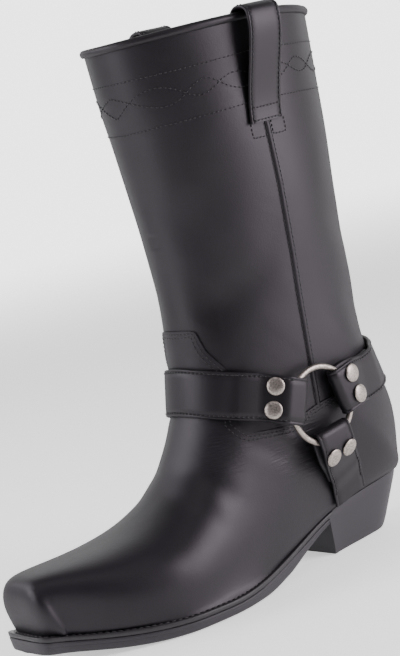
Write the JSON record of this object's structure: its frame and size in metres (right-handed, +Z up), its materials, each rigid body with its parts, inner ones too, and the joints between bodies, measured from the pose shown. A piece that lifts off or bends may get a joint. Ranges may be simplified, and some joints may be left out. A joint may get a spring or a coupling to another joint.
{
  "type": "harness boot",
  "caption": "Tall black leather biker boot with a squared toe, slanted heel, welted rubber sole, pull loops and a ring harness of riveted straps round the ankle.",
  "frame": {"origin": "middle of the heel's face on the floor", "axes": "+Z up, toe towards -Y, the outer (lateral) side of this left boot towards +X"},
  "size_m": [0.1361, 0.3171, 0.3721],
  "materials": {
    "black_leather": "satin",
    "black_strap_leather": "satin",
    "black_rubber": "matt",
    "black_welt_leather": "matt",
    "insole_leather": "matt",
    "antique_silver": "satin"
  },
  "bodies": {
    "root": {"outsole": "black_rubber", "welt": "black_welt_leather", "insole": "insole_leather", "upper": "black_leather", "collar_binding": "black_strap_leather", "pull_loop_lateral": "black_strap_leather", "pull_loop_medial": "black_strap_leather", "strap_front": "black_strap_leather", "strap_back": "black_strap_leather", "strap_low_lateral": "black_strap_leather", "strap_low_medial": "black_strap_leather", "ring_lateral": "antique_silver", "ring_medial": "antique_silver", "stud_front_lateral_upper": "antique_silver", "stud_front_lateral_lower": "antique_silver", "stud_front_medial_upper": "antique_silver", "stud_front_medial_lower": "antique_silver", "stud_back_lateral_upper": "antique_silver", "stud_back_lateral_lower": "antique_silver", "stud_back_medial_upper": "antique_silver", "stud_back_medial_lower": "antique_silver", "stud_low_lateral_upper": "antique_silver", "stud_low_lateral_lower": "antique_silver", "stud_low_medial_upper": "antique_silver", "stud_low_medial_lower": "antique_silver"}
  },
  "joints": []
}
